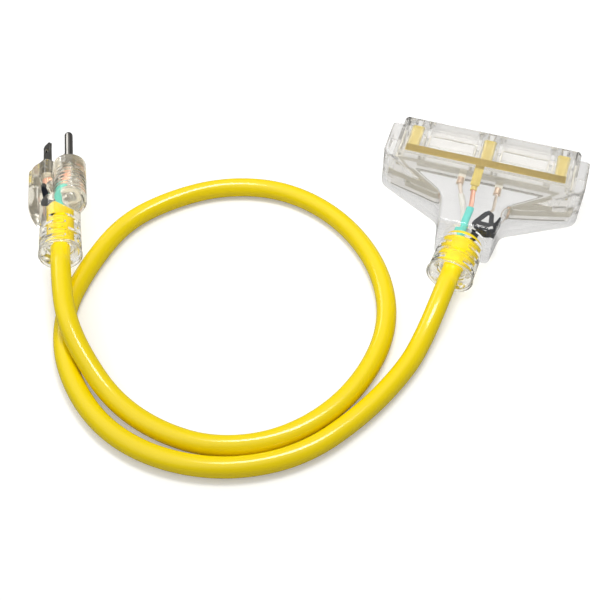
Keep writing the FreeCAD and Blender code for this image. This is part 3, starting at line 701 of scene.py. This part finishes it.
def wire_material(name, low, high, rough):
    """Insulation: a plain colour with slight clouding and a satin face under the clear PVC."""
    material, tree, place = new_material(name)
    cloud = add_noise(tree, place, 300.0, 3.0)
    bump = add_node(tree, "Bump", {"Height": cloud, "Strength": 0.1, "Distance": 0.0002})
    add_surface(tree, "BsdfPrincipled", {
        "Base Color": add_tone(tree, cloud, low, high), "Roughness": rough, "IOR": 1.05,
        "Normal": bump})
    return material


# Wire insulation PVC: flat black, white and green that the clear PVC wets, so they don't shine
insulation = {"hot": wire_material("black_insulation", "15171C", "23262D", 0.5),
              "neutral": wire_material("white_insulation", "D6D5D0", "E2E1DC", 0.4),
              "ground": wire_material("green_insulation", "5CCCC2", "78DAD2", 0.4)}
# Bare copper is salmon pink and shines softly; tinned copper and the pale crimps are greyer
copper = metal_material("bright_copper", "EFB49C", "F8CFBC", 0.35, 0.5)
tinned_copper = metal_material("tinned_copper", "DCD2C9", "EAE2DA", 0.5, 0.65)
pale_crimp = metal_material("pale_crimp", "D9C3AF", "E8D6C6", 0.6, 0.8)


def strand_bundle(line, radius, strands=12, lay=16.0):
    """Strands round a core: each follows line + r (side cos a + up sin a), with the angle a growing
    by a whole turn each lay."""
    side, up = frames_along(line)
    run = arc_lengths(line)
    thin = radius * math.sin(math.pi / strands) / (1 + math.sin(math.pi / strands))
    parts = []
    for k in range(strands):
        angle = 2 * math.pi * (k / strands + run / lay)
        away = side * np.cos(angle)[:, None] + up * np.sin(angle)[:, None]
        parts.append(tube_surface(line + away * (radius - thin), thin * 1.05, 8)[:2])
    parts.append(tube_surface(line, radius - thin, 12)[:2])
    return merge_surfaces(parts)


def smooth_path(corners, share=0.45, step=0.5):
    """A path through corner points with each corner rounded over a share of its shorter run."""
    corners = np.asarray(corners, float)
    rows = [corners[:1]]
    for before, corner, after in zip(corners, corners[1:], corners[2:]):
        cut = share * min(np.linalg.norm(before - corner), np.linalg.norm(after - corner))
        a, b = corner + unit(before - corner) * cut, corner + unit(after - corner) * cut
        t = np.linspace(0, 1, 9)[:, None]
        rows.append((1 - t) ** 2 * a + 2 * t * (1 - t) * corner + t ** 2 * b)
    rows.append(corners[-1:])
    return resample(np.concatenate(rows), step)


def cut_from(line, start, end=math.inf):
    """The stretch of a line between two lengths from its start."""
    run = arc_lengths(line)
    return line[(run >= start) & (run <= end)]


def add_wire(end_name, kind, line, bare, thick, metal):
    name = end_name + "_" + kind
    bundle = COPPER_RADIUS * thick / WIRE_RADIUS
    points, faces = strand_bundle(cut_from(line, 0, bare + 3.0), bundle)
    add_piece(name + "_copper", "copper_strands", name + "_strands", points, faces, [metal],
              sharp=60.0, merge=False)
    cover = cut_from(line, bare)
    radius = np.full((len(cover), 1), thick)
    radius[:2, 0] = (thick - 0.25, thick - 0.08)
    points, faces, uv = tube_surface(cover, radius, 32)
    colour = {"hot": "black", "neutral": "white", "ground": "green"}[kind]
    add_piece(name + "_wire", colour + "_insulation", name + "_insulation", points, faces,
              [insulation[kind]], uv=uv, merge=False)


def barrel_line(start, length):
    """Points from a start towards the cable, along -y."""
    return start - np.array([0, length, 0]) * np.linspace(0, 1, 18)[:, None]


def crimp_surface(line, radius):
    """A barrel along a line, pinched twice: r - 0.22 exp(-((t - 0.35) / 0.14) ** 2)
    - 0.22 exp(-((t - 0.7) / 0.1) ** 2), with t from 0 to 1."""
    t = np.linspace(0, 1, len(line))
    first, second = np.exp(-((t - 0.35) / 0.14) ** 2), np.exp(-((t - 0.7) / 0.1) ** 2)
    return tube_surface(line, (radius - 0.22 * first - 0.22 * second)[:, None], 28)[:2]


def add_jacket(end_name, line, run, inner, taper_from, taper_over):
    """A jacket end of an inner radius r that goes over to the cord's R: r + (R - r) s, with s the
    smooth step of (run - from) / over. Its first three rings are rounded off."""
    taper = smooth_step((run - taper_from) / taper_over)
    radius = (inner + (CORD_RADIUS - inner) * taper)[:, None]
    radius[:3, 0] = inner - np.array([0.45, 0.18, 0.05])
    points, faces, uv = tube_surface(line, radius, CORD_SIDES)
    return add_piece(end_name + "_jacket_end", "yellow_jacket", end_name + "_jacket", points, faces,
                     [jacket_bonded], uv=uv, merge=False)


# For each wire: its seat across and above the jacket's middle, the share of a run that a bend
# takes, bare length, radius, metal, crimp length, and its way from the crimp to the jacket.
HEAD_WIRES = {
    "ground": (-2.4, 2.0, 0.45, 20.5, 2.1, copper, 8.0, [
        (-2.0, 13.06, 22.73), (-2.0, 5.5, 22.7), (-0.6, -7.0, 22.0), (-1.6, -16.0, 20.0)]),
    "hot": (2.6, 0.2, 0.25, 25.0, 1.3, tinned_copper, 5.0, [
        (11.0, 17.06, 10.98), (11.0, 10.5, 11.0), (11.5, -2.0, 14.0), (9.3, -7.4, 19.0),
        (4.2, -16.2, 19.2), (12.4, -16.4, 19.2), (11.6, -7.8, 18.2), (8.7, -4.8, 14.0),
        (3.4, -13.6, 13.4)]),
    "neutral": (-0.4, -2.9, 0.45, 12.0, 1.8, tinned_copper, 5.0, [
        (-11.0, 17.06, 15.58), (-10.5, 10.5, 15.0), (-5.0, -4.0, 12.0), (-2.5, -15.0, 12.5)]),
}
mouth = SLEEVE_ROOT - HEAD_WAY * 0.5
crimp_parts = []
for kind, (across, above, bend, bare, thick, metal, length, way) in HEAD_WIRES.items():
    seat = mouth - head_side * across + HEAD_UP * above
    line = smooth_path(way + [seat - HEAD_WAY * 3.0, seat], bend)
    add_wire("head", kind, line, bare, thick, metal)
    crimp_parts.append(crimp_surface(barrel_line(way[0], length), CRIMP_RADIUS))
points, faces = merge_surfaces(crimp_parts)
ground_count = len(crimp_parts[0][1])
slots = [0] * ground_count + [1] * (len(faces) - ground_count)
add_piece("head_crimp_barrels", "brass", "head_crimps", points, faces, [brass, pale_crimp], slots,
          sharp=50.0, merge=False)

# The clear sleeve magnifies the jacket, which fills it in the picture, so it is drawn thicker
# there (6.1 mm against 5.45) and comes down to the cord's size in the bell.
jacket_run = CLEAR_RUN * np.linspace(0, 1, 60)
add_jacket("head", mouth + HEAD_WAY * jacket_run[:, None], jacket_run, CLEAR_JACKET, 15.0, 5.0)


# Plug: clear PVC moulded round the blades and the cable. A broad base carries the blades, a round
# boss with grip rings carries the ground pin, and the sides scoop in towards the strain relief.
PLUG_ORIGIN = np.array([-240.2818, -42.3917, 16.3359])
PLUG_TURN, PLUG_PITCH, PLUG_ROLL = math.radians(25.5), math.radians(0.4), math.radians(46.0)
BODY_LENGTH = 43.0
BASE_HALF, TOP_HALF, BASE_LOW, TOP_LEVEL = 12.2, 10.4, -12.2, 5.2
BASE_TOP, BLOCK_LOW, BODY_CORNER = -1.5, -7.0, 2.5
PIN_Z = 11.9
BOSS_Z, BOSS_RADIUS, BOSS_FRONT, BOSS_END, BOSS_DOME = 12.6, 9.2, 5.5, 34.5, 8.0
RING_START, RING_STEP, RING_COUNT, RING_DEPTH = 12.5, 2.5, 8, 0.5
CABLE_Z = 3.3
PLUG_SLEEVE = (25.6, 11.2, 12.1)
SLEEVE_START, SLEEVE_EASE = 30.0, 1.6
BODY_EASE = 1.2
HUB = -6.0
FAR = 50.0


def turned(axis, angle):
    """Rotation matrix about one axis."""
    c, s = math.cos(angle), math.sin(angle)
    return np.array({"x": [[1, 0, 0], [0, c, -s], [0, s, c]],
                     "y": [[c, 0, s], [0, 1, 0], [-s, 0, c]],
                     "z": [[c, -s, 0], [s, c, 0], [0, 0, 1]]}[axis])


PLUG_LAY = turned("z", PLUG_TURN) @ turned("x", PLUG_PITCH) @ turned("y", PLUG_ROLL)


def laid(points):
    """The plug's own points (x across the blades, y along them, z to the pin) laid down."""
    return PLUG_ORIGIN + np.asarray(points, float) @ PLUG_LAY.T


def slab_distance(x, z, half, low, high, corner):
    """Signed distance to a rounded rectangle: q = |p| - (size - r), then
    |max(q, 0)| + min(max q, 0) - r."""
    qx = np.abs(x) - (half - corner)
    qz = np.abs(z - (low + high) / 2) - ((high - low) / 2 - corner)
    outside = np.hypot(np.maximum(qx, 0), np.maximum(qz, 0))
    return outside + np.minimum(np.maximum(qx, qz), 0) - corner


def blended(a, b, width):
    """The lesser of two distances with the crease filled: h = clip(1/2 + (b - a) / 2w), then
    b (1 - h) + a h - w h (1 - h)."""
    h = np.clip(0.5 + 0.5 * (b - a) / width, 0, 1)
    return b * (1 - h) + a * h - width * h * (1 - h)


def eased(depth, front, ease):
    """How far a front edge is drawn in: e (1 - sqrt(1 - s ** 2)) with s = (front + e - depth) / e
    clipped to 0..1."""
    share = np.clip((front + ease - depth) / ease, 0, 1)
    return ease * (1 - np.sqrt(1 - share ** 2))


def body_distance(x, z, depth):
    """Signed distance to the plug's section at a depth: the base, the scooped block above it, the
    round boss with its rings and dome, and the start of the sleeve, blended."""
    lean = (BASE_HALF - TOP_HALF) / (TOP_LEVEL - BASE_LOW)
    sheared = np.abs(x) + (z - BASE_LOW) * lean
    tail = np.clip((depth - 25.0) / 18.0, 0, 1)
    base = slab_distance(sheared, z, BASE_HALF - 2.6 * tail ** 2, BASE_LOW + 3.8 * tail ** 2,
                         BASE_TOP, BODY_CORNER)
    scoop = smooth_step((depth - 11.0) / 20.0)
    block = slab_distance(sheared, z, BASE_HALF + 0.6 - 6.2 * scoop, BLOCK_LOW, TOP_LEVEL,
                          BODY_CORNER)
    ring = (depth - RING_START) / RING_STEP
    wave = 0.5 - 0.5 * np.cos(2 * math.pi * ring)
    groove = np.where((ring > 0) & (ring < RING_COUNT), wave, 0)
    dome = np.clip((depth - BOSS_END) / BOSS_DOME, 0, 1)
    boss = np.hypot(x, z - BOSS_Z) - (BOSS_RADIUS * np.sqrt(1 - dome ** 2) - RING_DEPTH * groove)
    boss = boss + eased(depth, BOSS_FRONT, BODY_EASE)
    boss = np.where((dome < 1) & (depth > BOSS_FRONT), boss, FAR)
    sleeve = np.hypot(x, z - CABLE_Z) - (PLUG_SLEEVE[1] - eased(depth, SLEEVE_START, SLEEVE_EASE))
    sleeve = np.where(depth > SLEEVE_START, sleeve, FAR)
    joined = blended(blended(base, block, 2.2), boss, 1.2)
    return blended(joined, sleeve, 0.8) + eased(depth, 0.0, BODY_EASE)


def body_radius(depth, turn):
    """Distance from the hub line to the skin along each ray, found by halving the stretch in which
    the distance changes sign."""
    low = np.zeros(np.broadcast(depth, turn).shape)
    high = low + 32.0
    for _ in range(34):
        middle = (low + high) / 2
        x, z = middle * np.sin(turn), HUB + middle * np.cos(turn)
        outside = body_distance(x, z, depth) > 0
        high = np.where(outside, middle, high)
        low = np.where(outside, low, middle)
    return (low + high) / 2


# The rays are spread evenly along the skin at 24 mm, and the sections lie closer where the body
# turns: its front edge, the boss's front edge, the rings and the dome.
dense = np.linspace(0, 2 * math.pi, 4001)
reference = body_radius(np.full_like(dense, 24.0), dense)
walk = arc_lengths(spots(reference * np.sin(dense), reference * np.cos(dense)))
body_turn = np.interp(np.linspace(0, walk[-1], 281)[:-1], walk, dense)
BOSS_EASED = BOSS_FRONT + BODY_EASE
edge_steps = np.sin(np.linspace(0, 1, 7) * QUARTER)
dome_steps = np.sin(np.linspace(0, 1, 26) * QUARTER)
depths = np.unique(np.round(np.concatenate([
    BODY_EASE - BODY_EASE * edge_steps, np.linspace(BODY_EASE, BOSS_FRONT - 0.01, 5),
    BOSS_EASED - (BODY_EASE - 0.01) * edge_steps, np.linspace(BOSS_EASED, RING_START, 8),
    np.arange(RING_START, 32.6, RING_STEP / 10), np.linspace(32.6, BOSS_END, 4),
    BOSS_END + BOSS_DOME * dome_steps - 1e-3, np.linspace(BODY_LENGTH - 0.5, BODY_LENGTH, 3),
    [SLEEVE_START - 0.01, SLEEVE_START + 0.01]]), 3))
spin, deep = np.meshgrid(body_turn, depths)
skin_radius = body_radius(deep, spin)
points = spots(skin_radius * np.sin(spin), -deep, HUB + skin_radius * np.cos(spin))
faces = grid_faces(*spin.shape)
slots = [0] * len(faces) + [0, 1]
faces += end_faces(*spin.shape)
plug_body = add_piece("plug_body", "clear_moulding", "plug_moulding", laid(points.reshape(-1, 3)),
                      faces, [plug_pvc, bonded], slots, sharp=45.0)

points, faces, slots = sleeve_surface(*PLUG_SLEEVE, laid([0, -BODY_LENGTH, CABLE_Z]),
                                      -PLUG_LAY[:, 1], PLUG_LAY[:, 2])
plug_sleeve = add_piece("plug_strain_relief", "clear_moulding", "plug_sleeve", points, faces,
                        [clear_sleeve, bonded], slots, sharp=30.0)


# Blades and pin: brass with bright nickel plating, rolled and stamped. It reads as dark grey with
# sharp
# light edges: it mirrors a dim room, and its colour is also set darker than real nickel as painted
# shade.
nickel = metal_material("nickel_plate_painted_dark", "8A8782", "A09D97", 0.08, 0.14)
BLADE_HALF, BLADE_TIP, BLADE_ROOT, BLADE_THICK = 3.175, 17.5, -9.0, 0.75
BLADE_CUT, BLADE_EASE = 1.3, 0.2
BLADE_HOLE, BLADE_HOLE_Y = 1.6, 11.7
PIN_RADIUS, PIN_LENGTH = 2.38, 19.02
PIN_SIDES = 40


def blade_surface(x):
    """A blade: its outline and its hole, both seen as rays from the hole's centre, swept through
    the thickness as loops with eased edges."""
    shoulder, narrow = BLADE_TIP - BLADE_CUT, BLADE_HALF - BLADE_CUT
    corners = np.array([(-BLADE_HALF, BLADE_ROOT), (BLADE_HALF, BLADE_ROOT), (BLADE_HALF, shoulder),
                        (narrow, BLADE_TIP), (-narrow, BLADE_TIP), (-BLADE_HALF, shoulder)])
    edge = resample(np.vstack([corners, corners[:1]]), 0.7)[:-1]
    spot = np.array([0.0, BLADE_HOLE_Y])
    away = edge - spot
    hole = spot + unit(away) * BLADE_HOLE
    inset = edge - unit(away) * BLADE_EASE
    wide = spot + unit(away) * (BLADE_HOLE + BLADE_EASE)
    eased_level = BLADE_THICK - BLADE_EASE
    rows = []
    for loop, level in ((inset, -BLADE_THICK), (edge, -eased_level), (edge, eased_level),
                        (inset, BLADE_THICK), (wide, BLADE_THICK), (hole, eased_level),
                        (hole, -eased_level), (wide, -BLADE_THICK)):
        rows.append(spots(x + level, loop[:, 1], loop[:, 0]))
    return np.concatenate(rows), grid_faces(8, len(edge), close_rows=True)


blades = []
for name, x in (("hot_blade", -SLOT_X), ("neutral_blade", SLOT_X)):
    points, faces = blade_surface(x)
    blades.append(add_piece(name, "brass", name + "_plated", laid(points), faces, [nickel]))

# The pin has a neck in the moulding, from 5.2 mm in, and a domed end
dome = np.linspace(0, QUARTER, 14)
pin_y = np.concatenate([[BLADE_ROOT, -5.2, -5.2, -5.0, 0.45, 5.0, 10.0, 15.0],
                        PIN_LENGTH + PIN_RADIUS * np.sin(dome)])
pin_r = np.concatenate([[2.1, 2.1, 2.25], [PIN_RADIUS] * 5, PIN_RADIUS * np.cos(dome)])
pin_turn = full_turn(PIN_SIDES)
points = spots(pin_r[:, None] * np.cos(pin_turn), pin_y[:, None],
               PIN_Z + pin_r[:, None] * np.sin(pin_turn)).reshape(-1, 3)
faces = grid_faces(len(pin_y), PIN_SIDES) + end_faces(len(pin_y), PIN_SIDES)
ground_pin = add_piece("ground_pin", "brass", "ground_pin_plated", laid(points), faces, [nickel],
                       sharp=50.0)


# Wires in the plug: the same insulation and copper, from a crimp on each blade and on the pin to
# the jacket, whose end is squeezed to 8.2 mm in the moulding.
dull_crimp = metal_material("dull_crimp", "A9A294", "C1BAAC", 0.5, 0.65)  # nickel-plated steel
JACKET_START, JACKET_END = 34.0, 63.6
TIGHT_RADIUS = 4.1
CRIMP_Y = -9.1
PLUG_CRIMP_RADIUS = 1.5
# For each wire: its seat across and above the jacket's middle, bare length, radius, crimp length,
# its start at the crimp and its way to the jacket.
PLUG_WIRES = {
    "ground": (0.0, 2.52, 12.5, 1.6, 5.0, (0.0, CRIMP_Y, PIN_Z), [(-0.6, -22.0, 9.6)]),
    "hot": (-2.2, -1.26, 7.6, 1.9, 3.6, (-SLOT_X, CRIMP_Y, 0.0), [
        (-7.9, -18.5, -1.0), (-7.2, -27.0, 0.4), (-6.0, -32.2, 0.8)]),
    "neutral": (2.2, -1.26, 7.6, 1.6, 3.6, (SLOT_X, CRIMP_Y, 0.0), [
        (7.4, -18.5, -1.0), (6.0, -28.0, 0.6)]),
}
crimp_parts = []
for kind, (across, above, bare, thick, length, start, way) in PLUG_WIRES.items():
    seat = np.array([across, -JACKET_START, CABLE_Z + above])
    last = [seat] if kind == "hot" else [seat + (0, 2.6, 0), seat]
    line = laid(smooth_path([start, np.subtract(start, (0, 5.2, 0))] + way + last))
    add_wire("plug", kind, line, bare, thick, copper)
    crimp_parts.append(crimp_surface(laid(barrel_line(start, length)), PLUG_CRIMP_RADIUS))
points, faces = merge_surfaces(crimp_parts)
plug_crimps = add_piece("plug_crimp_barrels", "brass", "plug_crimps", points, faces, [dull_crimp],
                        sharp=50.0, merge=False)

jacket_run = JACKET_START + (JACKET_END - JACKET_START) * np.linspace(0, 1, 90)
plug_jacket = add_jacket("plug", laid(spots(0.0, -jacket_run, CABLE_Z)), jacket_run,
                         TIGHT_RADIUS, 60.0, 3.2)

# The pieces of the plug, which hangs on the cord's far end, gathered in one list
with_plug = [plug_body, plug_sleeve, *blades, ground_pin, plug_crimps, plug_jacket]
with_plug += [bpy.data.objects["plug_" + kind + part]
              for kind in PLUG_WIRES for part in ("_strands", "_insulation")]


# Studio: a plain white floor, a pale sky over a dim horizon, one soft lamp overhead that draws the
# line of light along the cord, and a weak one from the left. Floor and sky are white to the camera.
# Rays inside the mouldings find both evenly light, which keeps thick clear plastic from going grey,
# and mirrored rays find a darker floor, which gives the plated metal its dark faces.
FLOOR_HALF = 4000
corners = [(-1, -1, 0), (1, -1, 0), (1, 1, 0), (-1, 1, 0)]
floor = make_piece("floor", np.multiply(corners, FLOOR_HALF), [[0, 1, 2, 3]], [], merge=False)


def light_path(tree):
    """The Light Path node and 1 for a ray inside a clear moulding, else 0."""
    path = add_node(tree, "LightPath", {})
    return path, add_node(tree, "Math", {0: path.outputs["Transmission Depth"], 1: 0.5},
                          operation="GREATER_THAN")


# Matt white paper: bright, even and without a shine, with the object's shadow soft on it
white_floor, tree, place = new_material("white_floor")
path, inside = light_path(tree)
paint = add_tone(tree, path.outputs["Is Glossy Ray"], "E5E5E5", "808080")
paint = add_node(tree, "Mix", {"Factor": inside, "A": paint, "B": linear("999999")},
                 data_type="RGBA")
plain = add_node(tree, "BsdfDiffuse", {"Color": paint})
inner_glow = add_node(tree, "Math", {0: inside, 1: 0.54}, operation="MULTIPLY")
level = add_node(tree, "Math", {0: path.outputs["Is Camera Ray"], 1: 0.26, 2: inner_glow},
                 operation="MULTIPLY_ADD")
glow = add_node(tree, "Emission", {"Strength": level})
add_surface(tree, "AddShader", {0: plain, 1: glow})
floor.data.materials.append(white_floor)


def add_lamp(name, size, watts, spot, tilt):
    """A soft rectangular lamp: size and spot in metres, tilt in degrees."""
    lamp = add_object(name, bpy.data.lights.new(name, "AREA"))
    lamp.data.shape = "RECTANGLE"
    lamp.data.size, lamp.data.size_y = size
    lamp.data.energy = watts
    lamp.location = spot
    lamp.rotation_euler = np.radians(tilt)


add_lamp("lamp", (0.30, 0.18), 2.7, (-0.06, 0.02, 0.70), (8, -6, 0))
add_lamp("side_lamp", (0.40, 0.30), 0.95, (-0.81, 0.32, 0.43), (58.4, 0, -122.3))

world = bpy.data.worlds.new("studio")
world.use_nodes = True
tree = world.node_tree
tree.nodes.clear()
direction = add_node(tree, "TexCoord", {}).outputs["Generated"]
lean = add_node(tree, "VectorMath", {0: direction, 1: (-0.30, 0.0, 0.95)},
                operation="DOT_PRODUCT")
height = add_node(tree, "MapRange", {
    "Value": lean, "From Min": 0.50, "From Max": 0.95, "To Min": 0.20, "To Max": 1.15})
path, inside = light_path(tree)
open_sky, inner_sky, white = [
    add_node(tree, "Background", {"Color": linear("FFFFFF"), "Strength": strength})
    for strength in (height, 0.94, 1.0)]
both = add_node(tree, "MixShader", {0: inside, 1: open_sky, 2: inner_sky})
both = add_node(tree, "MixShader", {0: path.outputs["Is Camera Ray"], 1: both, 2: white})
add_node(tree, "OutputWorld", {"Surface": both})
scene.world = world
